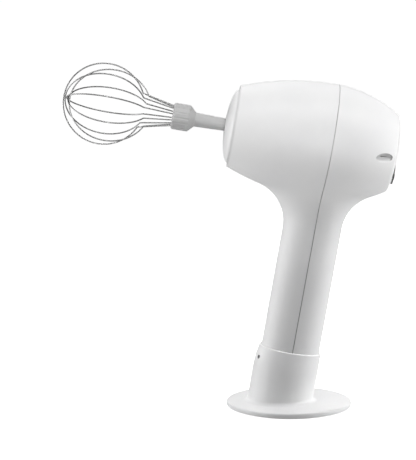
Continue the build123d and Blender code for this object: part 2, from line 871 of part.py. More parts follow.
# Control panel: bezel, push button on its switch, and a light pipe over the lamp
with BuildPart() as control_bezel:
    pill(head_plane(collar_back, bezel_v), bezel_height, bezel_width, bezel_face - collar_back)
    face_rim = control_bezel.faces().sort_by(whisk_axis)[-1].edges()
    fillet(face_rim, bezel_round)
    pill(head_plane(bezel_back, bezel_v), bezel_height + 2 * bezel_lip, bezel_width + 2 * bezel_lip,
         bezel_flange)
    rod(head_plane(bezel_back, button_v), button_radius + button_fit, bezel_face - bezel_back,
        mode=Mode.SUBTRACT)
    rod(head_plane(bezel_back, lamp_v), lamp_radius, bezel_face - bezel_back, mode=Mode.SUBTRACT)
finish_part(control_bezel, "control_bezel")

with BuildPart() as speed_button:
    rod(head_plane(button_back, button_v), button_radius, bezel_face + button_proud - button_back)
    fillet(speed_button.faces().sort_by(whisk_axis)[-1].edges(), button_round)
    rod(head_plane(button_back, button_v), button_radius + button_lip, button_flange)
finish_part(speed_button, "speed_button")

plunger_foot = switch_top - plunger_depth
with BuildPart() as switch_plunger:
    rod(head_plane(plunger_foot, button_v), plunger_radius, button_back - plunger_foot)
finish_part(switch_plunger, "switch_plunger")

with BuildPart() as tact_switch:
    block(head_plane(board_back, button_v), switch_size, switch_size, switch_height)
    rod(head_plane(switch_top, button_v), plunger_radius + plunger_fit,
        -plunger_depth - button_travel - plunger_floor_gap, mode=Mode.SUBTRACT)
finish_part(tact_switch, "tact_switch")

with BuildPart() as indicator_led:
    block(head_plane(board_back, lamp_v), led_size, led_size, led_height)
finish_part(indicator_led, "indicator_led")

with BuildPart() as light_pipe:
    pipe_front = board_back + led_height + led_gap
    rod(head_plane(pipe_front, lamp_v), lamp_radius, bezel_face - pipe_front)
    rod(head_plane(bezel_back, lamp_v), lamp_radius + lamp_lip, -lamp_flange)
finish_part(light_pipe, "light_pipe")

with BuildPart() as control_board:
    board_middle_v = (board_top_v + board_bottom_v) / 2
    round_block(head_plane(board_front, board_middle_v), 2 * board_half_width, board_top_v - board_bottom_v,
                board, board_round)
    for y, v in post_places:
        rod(head_plane(board_front, v, y), board_screw_radius, board, mode=Mode.SUBTRACT)
finish_part(control_board, "control_board")

with BuildPart() as driver_chip:
    block(head_plane(board_front, board_top_v - chip_drop), chip_size, chip_size, -chip_height)
finish_part(driver_chip, "driver_chip")


# Power: cell in its cradle, charging board and charging port
with BuildPart() as battery_cell:
    rod(handle_plane(cell_bottom_v), cell_radius, cell_length)
    rod(handle_plane(cell_top_v), cell_nub_radius, cell_nub)
finish_part(battery_cell, "battery_cell")

with BuildPart() as battery_cradle:
    rod(handle_plane(cradle_bottom_v), cradle_radius, cradle_top_v - cradle_bottom_v)
    rod(handle_plane(cell_bottom_v - cradle_fit), cradle_bore, cell_length + cell_nub + 2 * cradle_fit,
        mode=Mode.SUBTRACT)
    split(bisect_by=head_plane(parting_s), keep=Keep.BOTTOM)
finish_part(battery_cradle, "battery_cradle")

with BuildPart() as charge_board:
    charge_middle_v = (charge_top_v + charge_bottom_v) / 2
    block(head_plane(charge_front, charge_middle_v), 2 * charge_board_half_width, charge_board_length, board)
    for y in charge_post_sides:
        rod(head_plane(charge_front, charge_post_v, y), board_screw_radius, board, mode=Mode.SUBTRACT)
finish_part(charge_board, "charge_board")

with BuildPart() as charge_port:
    round_block(port_plane, port_height, port_width, port_length, port_corner)
    round_block(port_plane, port_height - 2 * port_shell, port_width - 2 * port_shell,
                port_length - port_back, port_corner - port_shell, mode=Mode.SUBTRACT)
    block(port_plane.offset(port_tongue_setback), port_tongue, port_tongue_width,
          port_length - port_tongue_setback)
finish_part(charge_port, "charge_port")

with BuildPart() as board_screws:
    for y, v in post_places:
        rod(head_plane(board_front, v, y), board_screw_radius, board_screw_length)
        rod(head_plane(board_front, v, y), board_screw_head_radius, -board_screw_head)
    for y in charge_post_sides:
        rod(head_plane(charge_back, charge_post_v, y), board_screw_radius, -board_screw_length)
        rod(head_plane(charge_back, charge_post_v, y), board_screw_head_radius, board_screw_head)
finish_part(board_screws, "board_screws")

with BuildPart() as housing_screws:
    for y in case_screw_sides:
        rod(head_plane(case_seat_s, case_screw_v, y), case_screw_radius, -case_screw_length)
        rod(head_plane(case_seat_s, case_screw_v, y), case_screw_head_radius, case_screw_head)
finish_part(housing_screws, "housing_screws")


# Leads from the board to the motor, and from the battery up the neck to the board
with BuildPart() as motor_leads:
    terminal_end = bell_back + terminal_length
    motor_lead_run = (board_front - terminal_end) / 3
    for side in (-1, 1):
        lead(
            at(terminal_end, side * terminal_spread),
            at(terminal_end + motor_lead_run, side * terminal_spread),
            at(board_front - motor_lead_run, side * motor_lead_spread),
            at(board_front, side * motor_lead_spread),
        )
finish_part(motor_leads, "motor_leads")

with BuildPart() as battery_leads:
    lead_s = handle_s - battery_lead_forward
    landing_v = board_bottom_v + battery_lead_landing
    for y in (-battery_lead_side, battery_lead_side):
        lead(
            at(lead_s, cradle_top_v, y),
            at(lead_s, cradle_top_v + battery_lead_rise, y),
            at((lead_s + board_front) / 2, -battery_lead_knee, y),
            at(board_front - lead_run, landing_v, y),
            at(board_front, landing_v, y),
        )
finish_part(battery_leads, "battery_leads")


# Balloon whisk: wire loops that nest behind one another at the tip, in a fluted hub
collar_front = -collar_reach
collar_rear = collar_front + collar_length
stem_end = -drive_setback - stem_end_gap
kink_angle = asin(kink_radius / balloon_radius)


def loop_centre(index):
    """Place along the whisk axis of a loop's round balloon."""
    return balloon_radius - balloon_reach + loop_step * index


def loop_plane(index):
    """Plane of one loop: x is rearward along the whisk axis, y is out to its first wire."""
    angle = radians(first_loop_angle - 180 * index / loop_count)
    outward = upward * sin(angle) - sideways * cos(angle)
    return Plane(nose_centre, x_dir=rearward, z_dir=rearward.cross(outward))


def wire_end(index, side):
    """Inner end of one wire in the hub, on its loop's own plane."""
    kink_s = loop_centre(index) + balloon_radius * cos(kink_angle)
    slope = (kink_radius - wire_entry_radius) / (collar_front - kink_s)
    return Vector(collar_front + wire_depth, side * (wire_entry_radius - slope * wire_depth))


for index in range(loop_count):
    with BuildPart() as whisk_loop:
        with BuildLine() as flat_loop:
            balloon = CenterArc((loop_centre(index), 0), balloon_radius, degrees(kink_angle),
                                360 - 2 * degrees(kink_angle))
            Line(wire_end(index, 1), balloon @ 0)
            Line(balloon @ 1, wire_end(index, -1))
            kinks = [flat_loop.vertices().sort_by_distance(point)[0] for point in (balloon @ 0, balloon @ 1)]
            fillet(kinks, kink_round)
        loop_route = loop_plane(index).from_local_coords(flat_loop.wire())
        with BuildSketch(Plane(loop_route @ 0, z_dir=loop_route % 0)):
            Circle(wire_radius)
        sweep(path=loop_route)
    finish_part(whisk_loop, f"whisk_loop_{index + 1}")

with BuildPart() as whisk_stem:
    with BuildSketch(side_plane):
        with BuildLine():
            Polyline(
                (stem_end, 0),
                (stem_end, stem_radius),
                (stem_end - stem_straight, stem_radius),
                (collar_rear + collar_cone, stem_root_radius),
                (collar_rear, collar_radius),
                (collar_front + collar_chamfer, collar_radius),
                (collar_front, collar_radius - collar_chamfer),
                (collar_front, 0),
                close=True,
            )
        make_face()
    revolve(axis=whisk_axis)
    with BuildSketch(head_plane(collar_front)):
        with PolarLocations(collar_radius + flute_radius - flute_depth, flute_count):
            Circle(flute_radius)
    extrude(amount=collar_length, mode=Mode.SUBTRACT)
    hexagon(head_plane(stem_end), hex_across_flats, -hex_embed, mode=Mode.SUBTRACT)
    for index in range(loop_count):
        for side in (-1, 1):
            foot = loop_plane(index).from_local_coords(wire_end(index, side))
            kink = Vector(loop_centre(index) + balloon_radius * cos(kink_angle), side * kink_radius)
            aim = loop_plane(index).from_local_coords(kink) - foot
            rod(Plane(foot, z_dir=aim), wire_radius + wire_fit, 2 * wire_depth, mode=Mode.SUBTRACT)
finish_part(whisk_stem, "whisk_stem")

hex_tip = carrier_back - hex_floor - hex_tip_gap
ring_middle = hex_across_flats / 2 + grip_ring_proud - grip_ring_wire
with BuildPart() as drive_pin:
    hexagon(head_plane(stem_end - hex_embed), hex_across_flats, hex_tip - stem_end + hex_embed)
    groove_half = grip_ring_wire + grip_groove_side
    tube(head_plane(grip_ring_s - groove_half), hex_across_flats, ring_middle - grip_ring_wire,
         2 * groove_half, mode=Mode.SUBTRACT)
finish_part(drive_pin, "drive_pin")

with BuildPart() as grip_ring:
    with BuildSketch(side_plane):
        with Locations((grip_ring_s, ring_middle)):
            Circle(grip_ring_wire)
    revolve(axis=whisk_axis)
finish_part(grip_ring, "grip_ring")


# Stand: round foot, flared socket for the handle, and a soft pad underneath
def sleeve_section(depth):
    """Place along s, half width and half depth of the socket's outside, at a depth below the rim."""
    share = sin(min(depth / sleeve_flare, 1) * pi / 2)
    front = socket_fit + sleeve_lip + (sleeve_front_wall - sleeve_lip) * share
    back = socket_fit + sleeve_lip + (sleeve_back_wall - sleeve_lip) * share
    return handle_s + (back - front) / 2, handle_half_width + (front + back) / 2, handle_half_depth + front


with BuildPart() as sleeve:
    for step in range(sleeve_sections):
        depth = sleeve_flare * step / (sleeve_sections - 1)
        sleeve_s, half_width, half_depth = sleeve_section(depth)
        with BuildSketch(handle_plane(rim_v - depth, sleeve_s)):
            Ellipse(half_width, half_depth)
    loft()
    root_s, root_half_width, root_half_depth = sleeve_section(sleeve_flare)
    oval(handle_plane(rim_v - sleeve_flare, root_s), root_half_width, root_half_depth, -sleeve_height - seat_lift)
    split(bisect_by=Plane.XY.offset(pad_proud), keep=Keep.TOP)
    fillet(sleeve.faces().sort_by(Axis(nose_centre, upward))[-1].edges(), rim_round)

with BuildPart() as stand_base:
    rod(Plane.XY.offset(pad_proud), foot_radius, foot_height - pad_proud)
    fillet(stand_base.edges().filter_by(GeomType.CIRCLE), foot_round)
    add(sleeve.part)
    fillet(stand_base.edges(Select.NEW), sleeve_root_round)
    oval(handle_plane(-handle_reach), handle_half_width + socket_fit, handle_half_depth + socket_fit,
         2 * sleeve_height, mode=Mode.SUBTRACT)
    oval(handle_plane(-handle_reach - socket_floor), handle_half_width - socket_ledge,
         handle_half_depth - socket_ledge, -2 * seat_lift, mode=Mode.SUBTRACT)
    rod(Plane.XY, pad_radius + pad_fit, pad, mode=Mode.SUBTRACT)
    key_s, key_half_width, key_half_depth = sleeve_section(key_hole_drop)
    key_hole_front = key_s - key_half_width * sqrt(1 - (key_hole_side / key_half_depth) ** 2)
    for y in (-key_hole_side, key_hole_side):
        rod(head_plane(key_hole_front + key_hole_depth, rim_v - key_hole_drop, y), key_hole_radius,
            -2 * key_hole_depth, mode=Mode.SUBTRACT)
finish_part(stand_base, "stand_base")

with BuildPart() as stand_pad:
    rod(Plane.XY, pad_radius, pad)
finish_part(stand_pad, "stand_pad")
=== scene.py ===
import json
import math

import bpy
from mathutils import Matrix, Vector


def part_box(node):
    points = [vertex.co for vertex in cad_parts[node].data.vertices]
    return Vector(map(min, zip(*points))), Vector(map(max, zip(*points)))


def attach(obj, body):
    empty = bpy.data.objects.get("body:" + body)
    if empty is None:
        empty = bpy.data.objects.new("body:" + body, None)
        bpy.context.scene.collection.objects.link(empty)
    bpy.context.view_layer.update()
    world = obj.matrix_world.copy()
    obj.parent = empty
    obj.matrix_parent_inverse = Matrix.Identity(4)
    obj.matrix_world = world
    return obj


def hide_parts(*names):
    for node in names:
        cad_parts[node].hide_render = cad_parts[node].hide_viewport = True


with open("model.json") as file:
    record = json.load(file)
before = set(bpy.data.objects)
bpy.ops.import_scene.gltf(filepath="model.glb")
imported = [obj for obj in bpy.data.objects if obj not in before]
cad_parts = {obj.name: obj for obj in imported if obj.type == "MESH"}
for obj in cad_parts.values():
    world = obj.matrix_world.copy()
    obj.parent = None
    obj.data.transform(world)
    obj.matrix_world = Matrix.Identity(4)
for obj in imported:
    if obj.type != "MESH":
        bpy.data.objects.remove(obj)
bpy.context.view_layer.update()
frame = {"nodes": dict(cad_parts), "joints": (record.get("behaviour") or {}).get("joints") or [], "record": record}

# Hand mixer in its stand: finishes, fine detail and the photograph's view. Lengths are in metres.
# Mixer frame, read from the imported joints: s runs rearward along the whisk axis from the nose,
# v runs up the handle, and y is sideways.
joints = {joint["name"]: joint for joint in frame["joints"]}
nose = Vector(joints["output_spin"]["pos_m"])
rearward = Vector(joints["output_spin"]["axis"])
upward = Vector(joints["lift_out"]["axis"])
sideways = Vector((0, 1, 0))
tilt = math.atan2(-rearward.z, rearward.x)

# Picture and camera, as the photograph was taken
image_height = 460
focal_pixels = 2153.85
sensor = 36.0
camera_place = (-0.05310, -1.38426, 0.32640)
camera_elevation = 8.6
camera_reach = 100.0

# Floor, glowing a little so that it stays pale far away and keeps a faint shadow near the foot
floor_reach = 40.0
floor_depth = 0.00005
floor_glow_near = 0.80
floor_glow_far = 1.02
floor_glow_reach = 1.2
floor_grey = 0.90
floor_roughness = 0.9

# Light thrown back up by the floor, as a lamp that lies just above it
bounce_size = 3.0
bounce_lift = 0.0005
bounce_radiance = 0.491

# Places that the lamps are aimed at
whole = (-0.01, 0.0, 0.12)
head = (0.0, 0.0, 0.18)
head_side = (0.01, 0.0, 0.175)
foot_left = (-0.015, -0.01, 0.0)
foot_right = (0.015, -0.01, 0.0)

# Lamps, with power in watts and the beam's spread in degrees
lamps = {
    "top_back": dict(place=(0.0, 0.60, 0.80), aim=whole, size=(0.9, 0.6), power=5.771, gloss=False),
    "back": dict(place=(0.0, 0.90, 0.25), aim=whole, size=(0.8, 0.6), power=1.824, gloss=False),
    "left": dict(place=(-0.85, 0.15, 0.20), aim=whole, size=(0.6, 0.6), power=3.491),
    "left_side": dict(place=(-0.85, -0.12, 0.20), aim=whole, size=(0.5, 0.6), power=1.828),
    "right": dict(place=(0.85, 0.15, 0.20), aim=whole, size=(0.6, 0.6), power=3.485, gloss=False),
    "right_low": dict(place=(0.60, -0.05, 0.08), aim=whole, size=(0.4, 0.15), power=1.158),
    "strip_top": dict(place=(0.02, -0.15, 0.45), aim=head, size=(0.5, 0.10), power=0.843),
    "strip_front": dict(place=(0.01, -0.42, 0.20), aim=head_side, size=(0.35, 0.08), power=0.035, spread=25),
    "foot_left": dict(place=(-0.45, -0.12, 0.55), aim=foot_left, size=(0.10, 0.10), power=0.005, spread=15),
    "foot_right": dict(place=(0.45, -0.12, 0.55), aim=foot_right, size=(0.10, 0.10), power=0.012, spread=15),
}

# Finishes: where colour drift and gloss begin and end on their noise, its detail, and the grain's height
drift_start = 0.35
drift_end = 0.65
drift_detail = 3.0
grain_start = 0.3
grain_end = 0.7
grain_detail = 2.0
grain_height = 0.0001
grain_stretch = 0.08

# Rings of a second colour: a length added so that none is measured below zero
band_start = 1.0

# Head's outline behind its waist: an arc about a centre, in s and distance from the whisk axis
waist_s = 0.0610
waist_radius = 0.0381
tail_s = 0.1042
tail_radius = 0.0250

# Shade that gathers in the vents, by the depth below the head's outline
shade_front = 0.0850
shade_start = 0.0002
shade_depth = 0.0011
shade_share = 0.38
shade_grey = 0.16

# Shade along the joint between the nose cap and the rim round it
joint_reach = 0.0011
joint_share = 0.26
joint_grey = 0.35

# Painted shade inside the small holes in the front of the socket, as places in the mixer frame
hole_v = -0.1451
hole_side = 0.0078
hole_radius = 0.0013
hole_share = 0.6
hole_shade_grey = 0.04

# Painted highlight on the rim round the mouth of the socket
rim_depth = 0.0005
rim_highlight_grey = 0.98

# Dark plate on the face of the control bezel, over a white base
plate_depth = 0.0011
plate_base_grey = 0.81

# Painted shadow in the seam between the two housing shells, light from a place below the head and heaviest down to
# one on the handle
seam_gap = 0.0004
seam_edge = 0.00002
seam_head_v = -0.02
seam_head_share = 0.25
seam_handle_v = -0.06
seam_handle_share = 0.85
seam_shadow_grey = 0.05

# Copper tracks of the boards, as cells to the metre and a share of a cell
trace_scale = 320.0
trace_width = 0.06
trace_green = (0.07, 0.34, 0.14)

# Sheets of the armature, with dark lines between them
sheet_pitch = 0.0006
sheet_gap_share = 0.25
sheet_gap_grey = 0.05

# Light that passes through the clear mouldings
clear_share = 0.85

# Modelled pieces: sharp edges by their angle in degrees, directions that count as parallel by their cosine,
# the radius that a turned form keeps at its axis, and steps round a turn, an edge and a bevel
sharp_angle = 35.0
near_parallel = 0.9
axis_radius = 0.00002
turn_segments = 64
edge_steps = 6
bevel_segments = 2

# Push button
button_radius = 0.0023
button_flange = 0.0013
button_edge = 0.0004
button_dish = 0.00035
button_ridges = 3
button_ridge = 0.00006
button_ridge_steps = 8

# Housing screws
screw_radius = 0.0013
screw_head_radius = 0.0023
screw_head = 0.0016
screw_sharp_angle = 30.0
screw_rim_share = 0.45
screw_rings = 14
screw_tip_radius = 0.0004
screw_tip = 0.0008
screw_plain = 0.0030
screw_pitch = 0.0009
screw_thread = 0.00022
thread_start = 0.0010
thread_rise = 0.4
thread_crest = 0.55
thread_fall = 0.9
recess_width = 0.00042
recess_reach = 0.0014
recess_depth = 0.0009
recess_slope = 0.4

# Pad under the foot
pad_ribs = 6
pad_groove = 0.0006
pad_edge = 0.0004
pad_rib_steps = 16
pad_segments = 128

# Battery cell
cell_edge = 0.0006
cell_neck_drop = 0.0030
cell_neck = 0.0005
cell_neck_height = 0.0011
cell_wrap_lip = 0.0011
cell_base_rise = 0.0002
cell_end_sink = 0.0003
cell_end_taper = 0.0001
cell_nub_radius = 0.0030
cell_nub = 0.0008
cell_nub_taper = 0.0002
cell_nub_edge = 0.0003
cell_edge_steps = 5
cell_neck_steps = 8
cell_segments = 96

# Rotor windings
coil_poles = 3
coil_wire = 0.00050
coil_roundness = 3
coil_layers = 4
coil_pitch = 0.0011
coil_first = 0.0053
coil_overhang = 0.0012
coil_overhang_step = 0.3
coil_back_share = 0.5
coil_end_gap = 0.0002
coil_side = 0.00055

# Small parts on the control board
chip_part = (0.0016, 0.0009, 0.0006)
chip_rows = 6
chip_row_pitch = 0.0024
chip_row_drop = 0.0085
chip_row_side = 0.0066
chip_bevel = 0.00012

# Contacts on the charging port's tongue
port_tongue = 0.0007
contact_count = 6
contact_pitch = 0.0010
contact_width = 0.0005
contact_length = 0.0035
contact_height = 0.00008
contact_setback = 0.0015


def at(s, v=0.0, y=0.0):
    """World point of a place in the mixer frame."""
    return nose + rearward * s + upward * v + sideways * y


def span(node):
    """Lowest and highest s, v and y of a CAD node, in the mixer frame."""
    places = [vertex.co - nose for vertex in frame["nodes"][node].data.vertices]
    axes = (rearward, upward, sideways)
    return [(min(p.dot(axis) for p in places), max(p.dot(axis) for p in places)) for axis in axes]


def middle(pair):
    return (pair[0] + pair[1]) / 2


def make_camera():
    """Camera straight at the side of the mixer, a little above it."""
    data = bpy.data.cameras.new("camera")
    data.sensor_width = sensor
    data.lens = sensor * focal_pixels / image_height
    data.clip_end = camera_reach
    camera = bpy.data.objects.new("camera", data)
    camera.location = camera_place
    camera.rotation_euler = (math.radians(90 - camera_elevation), 0, 0)
    bpy.context.scene.collection.objects.link(camera)
    bpy.context.scene.camera = camera


def area_light(name, place, aim, size, power, spread=180, gloss=True):
    """Soft rectangular lamp that the camera doesn't see, its beam no wider than a spread in degrees.
    A lamp without gloss lights surfaces but makes no reflections on them."""
    data = bpy.data.lights.new(name, "AREA")
    data.shape = "RECTANGLE"
    data.size, data.size_y = size
    data.energy = power
    data.spread = math.radians(spread)
    lamp = bpy.data.objects.new(name, data)
    lamp.location = place
    lamp.rotation_euler = (Vector(aim) - Vector(place)).to_track_quat("-Z", "Y").to_euler()
    lamp.visible_camera = False
    lamp.visible_glossy = gloss
    bpy.context.scene.collection.objects.link(lamp)


def make_lights():
    """Soft panels round the mixer, strips near its head and foot, and light thrown back up by the floor."""
    for name, values in lamps.items():
        area_light(name, **values)
    bounce_power = bounce_radiance * math.pi * bounce_size ** 2
    area_light("bounce", (0.0, 0.0, bounce_lift), (0.0, 0.0, 1.0), (bounce_size, bounce_size), bounce_power)
    world = bpy.data.worlds.new("studio")
    world.use_nodes = True
    world.node_tree.nodes["Background"].inputs["Color"].default_value = (1, 1, 1, 1)
    world.node_tree.nodes["Background"].inputs["Strength"].default_value = 1.0
    world.cycles_visibility.diffuse = False
    world.cycles_visibility.glossy = False
    world.cycles_visibility.transmission = False
    bpy.context.scene.world = world
    bpy.context.scene.view_settings.view_transform = "Standard"


def node_of(tree, kind, **values):
    """New shader node with its input values set by name."""
    node = tree.nodes.new(kind)
    for name, value in values.items():
        node.inputs[name.replace("_", " ")].default_value = value
    return node


def make_floor():
    """Plain pale floor, wide enough to fill the picture."""
    corners = [(-1, -1), (1, -1), (1, 1), (-1, 1)]
    points = [(x * floor_reach, y * floor_reach, -floor_depth) for x, y in corners]
    mesh = bpy.data.meshes.new("floor")
    mesh.from_pydata(points, [], [(0, 1, 2, 3)])
    floor = bpy.data.objects.new("floor", mesh)
    floor.visible_diffuse = False
    floor.visible_glossy = False
    bpy.context.scene.collection.objects.link(floor)
    material = bpy.data.materials.new("floor_pale")
    material.use_nodes = True
    tree = material.node_tree
    shader = tree.nodes["Principled BSDF"]
    shader.inputs["Base Color"].default_value = (*grey(floor_grey), 1)
    shader.inputs["Roughness"].default_value = floor_roughness
    shader.inputs["Specular IOR Level"].default_value = 0.0
    shader.inputs["Emission Color"].default_value = (1, 1, 1, 1)
    place = tree.nodes.new("ShaderNodeTexCoord")
    size = node_of(tree, "ShaderNodeMapping", Scale=(1 / floor_glow_reach,) * 3)
    nearness = tree.nodes.new("ShaderNodeTexGradient")
    nearness.gradient_type = "SPHERICAL"
    glow = node_of(tree, "ShaderNodeMapRange", To_Min=floor_glow_far, To_Max=floor_glow_near)
    tree.links.new(place.outputs["Object"], size.inputs["Vector"])
    tree.links.new(size.outputs["Vector"], nearness.inputs["Vector"])
    tree.links.new(nearness.outputs["Fac"], glow.inputs["Value"])
    tree.links.new(glow.outputs["Result"], shader.inputs["Emission Strength"])
    mesh.materials.append(material)


def grey(value):
    return (value, value, value)


def surface(name, colours, roughness, drift, grain, bump, metallic=0.0, stretch=(1, 1, 1)):
    """Material with slow colour drift, uneven gloss and a fine grain, in real sizes along the whisk axis."""
    material = bpy.data.materials.new(name)
    material.use_nodes = True
    tree = material.node_tree
    link = tree.links.new
    shader = tree.nodes["Principled BSDF"]
    shader.inputs["Metallic"].default_value = metallic
    place = tree.nodes.new("ShaderNodeTexCoord")
    along = node_of(tree, "ShaderNodeMapping", Rotation=(0, -tilt, 0), Scale=stretch)
    slow = node_of(tree, "ShaderNodeTexNoise", Scale=1 / drift, Detail=drift_detail)
    fine = node_of(tree, "ShaderNodeTexNoise", Scale=1 / grain, Detail=grain_detail)
    ramp = tree.nodes.new("ShaderNodeValToRGB")
    ramp.color_ramp.elements[0].position = drift_start
    ramp.color_ramp.elements[1].position = drift_end
    ramp.color_ramp.elements[0].color = (*colours[0], 1)
    ramp.color_ramp.elements[1].color = (*colours[1], 1)
    gloss = node_of(tree, "ShaderNodeMapRange", From_Min=grain_start, From_Max=grain_end,
                    To_Min=roughness[0], To_Max=roughness[1])
    relief = node_of(tree, "ShaderNodeBump", Strength=bump, Distance=grain_height)
    link(place.outputs["Object"], along.inputs["Vector"])
    link(along.outputs["Vector"], slow.inputs["Vector"])
    link(along.outputs["Vector"], fine.inputs["Vector"])
    link(slow.outputs["Fac"], ramp.inputs["Fac"])
    link(ramp.outputs["Color"], shader.inputs["Base Color"])
    link(fine.outputs["Fac"], gloss.inputs["Value"])
    link(gloss.outputs["Result"], shader.inputs["Roughness"])
    link(fine.outputs["Fac"], relief.inputs["Height"])
    link(relief.outputs["Normal"], shader.inputs["Normal"])
    return material


def mixed_in(material, mask, colour):
    """Lay a second colour over a material's own, where a mask is 1."""
    tree = material.node_tree
    base = tree.nodes["Principled BSDF"].inputs["Base Color"]
    mix = tree.nodes.new("ShaderNodeMix")
    mix.data_type = "RGBA"
    mix.inputs["B"].default_value = (*colour, 1)
    tree.links.new(base.links[0].from_socket, mix.inputs["A"])
    tree.links.new(mask, mix.inputs["Factor"])
    tree.links.new(mix.outputs["Result"], base)


def math_node(tree, operation, first, second):
    """Output of a math node on two values, each a socket or a number."""
    node = tree.nodes.new("ShaderNodeMath")
    node.operation = operation
    for socket, value in zip(node.inputs, (first, second)):
        if isinstance(value, (int, float)):
            socket.default_value = value
        else:
            tree.links.new(value, socket)
    return node.outputs["Value"]


def distance_along(tree, direction, origin):
    """Output that measures how far a point lies along a direction from an origin."""
    place = tree.nodes.new("ShaderNodeTexCoord")
    dot = tree.nodes.new("ShaderNodeVectorMath")
    dot.operation = "DOT_PRODUCT"
    dot.inputs[1].default_value = direction
    tree.links.new(place.outputs["Object"], dot.inputs[0])
    return math_node(tree, "SUBTRACT", dot.outputs["Value"], origin.dot(direction))


def bands(material, direction, origin, pitch, share, colour):
    """Rings of a second colour at a fixed pitch along a direction."""
    tree = material.node_tree
    length = math_node(tree, "ADD", distance_along(tree, direction, origin), band_start)
    turn = math_node(tree, "MODULO", length, pitch)
    mixed_in(material, math_node(tree, "LESS_THAN", turn, pitch * share), colour)


def seam_shade(material):
    """Paint shadow on the tongue that shows in the seam, heaviest along the handle."""
    tree = material.node_tree
    seam = span("front_housing")[0][1]
    s = distance_along(tree, rearward, nose)
    inside = math_node(tree, "MULTIPLY", math_node(tree, "GREATER_THAN", s, seam + seam_edge),
                       math_node(tree, "LESS_THAN", s, seam + seam_gap - seam_edge))
    depth = node_of(tree, "ShaderNodeMapRange", From_Min=seam_head_v, From_Max=seam_handle_v,
                    To_Min=seam_head_share, To_Max=seam_handle_share)
    tree.links.new(distance_along(tree, upward, nose), depth.inputs["Value"])
    mixed_in(material, math_node(tree, "MULTIPLY", inside, depth.outputs["Result"]), grey(seam_shadow_grey))


def recess_shade(material):
    """Darken the vents in the tail, more the deeper they lie below the head's outline."""
    tree = material.node_tree
    drop = waist_radius - tail_radius
    arc_radius = ((tail_s - waist_s) ** 2 + drop ** 2) / (2 * drop)
    s = distance_along(tree, rearward, nose)
    v = distance_along(tree, upward, nose)
    y = distance_along(tree, sideways, nose)
    reach = math_node(tree, "SUBTRACT", s, waist_s)
    rise = math_node(tree, "SUBTRACT", arc_radius ** 2, math_node(tree, "MULTIPLY", reach, reach))
    outline = math_node(tree, "ADD", math_node(tree, "POWER", rise, 0.5), waist_radius - arc_radius)
    square = math_node(tree, "ADD", math_node(tree, "MULTIPLY", v, v), math_node(tree, "MULTIPLY", y, y))
    depth = math_node(tree, "SUBTRACT", outline, math_node(tree, "POWER", square, 0.5))
    share = node_of(tree, "ShaderNodeMapRange", From_Min=shade_start, From_Max=shade_depth,
                    To_Min=0.0, To_Max=shade_share)
    tree.links.new(depth, share.inputs["Value"])
    behind = math_node(tree, "MULTIPLY", math_node(tree, "GREATER_THAN", s, shade_front),
                       math_node(tree, "LESS_THAN", s, tail_s - shade_depth))
    mixed_in(material, math_node(tree, "MULTIPLY", share.outputs["Result"], behind), grey(shade_grey))


def joint_shade(material):
    """Darken a surface softly along the joint round the nose cap."""
    tree = material.node_tree
    reach = math_node(tree, "ABSOLUTE", distance_along(tree, rearward, nose), 0.0)
    share = node_of(tree, "ShaderNodeMapRange", From_Min=0.0, From_Max=joint_reach,
                    To_Min=joint_share, To_Max=0.0)
    tree.links.new(reach, share.inputs["Value"])
    mixed_in(material, share.outputs["Result"], grey(joint_grey))


def hole_shade(material):
    """Paint shade inside the socket's small holes."""
    tree = material.node_tree
    side = math_node(tree, "ABSOLUTE", distance_along(tree, sideways, nose), 0.0)
    across_y = math_node(tree, "SUBTRACT", side, hole_side)
    across_v = math_node(tree, "SUBTRACT", distance_along(tree, upward, nose), hole_v)
    square = math_node(tree, "ADD", math_node(tree, "MULTIPLY", across_y, across_y),
                       math_node(tree, "MULTIPLY", across_v, across_v))
    centre = middle(span("stand_base")[0])
    ahead = math_node(tree, "LESS_THAN", distance_along(tree, rearward, nose), centre)
    inside = math_node(tree, "MULTIPLY", math_node(tree, "LESS_THAN", square, hole_radius ** 2), ahead)
    mixed_in(material, math_node(tree, "MULTIPLY", inside, hole_share), grey(hole_shade_grey))


def rim_light(material):
    """Paint a highlight on the rim round the mouth of the socket."""
    tree = material.node_tree
    lowest = span("stand_base")[1][1] - rim_depth
    on_rim = math_node(tree, "GREATER_THAN", distance_along(tree, upward, nose), lowest)
    mixed_in(material, on_rim, grey(rim_highlight_grey))


def white_base(material):
    """White sides under the dark plate of the control bezel."""
    tree = material.node_tree
    plate = span("control_bezel")[0][1] - plate_depth
    below = math_node(tree, "LESS_THAN", distance_along(tree, rearward, nose), plate)
    mixed_in(material, below, grey(plate_base_grey))


def traces(material):
    """Copper tracks under a board's solder mask."""
    tree = material.node_tree
    place = tree.nodes.new("ShaderNodeTexCoord")
    tracks = node_of(tree, "ShaderNodeTexVoronoi", Scale=trace_scale)
    tracks.feature = "DISTANCE_TO_EDGE"
    tree.links.new(place.outputs["Object"], tracks.inputs["Vector"])
    mixed_in(material, math_node(tree, "LESS_THAN", tracks.outputs["Distance"], trace_width), trace_green)


def clear(material):
    """Let light through a clear moulding."""
    shader = material.node_tree.nodes["Principled BSDF"]
    shader.inputs["Transmission Weight"].default_value = clear_share


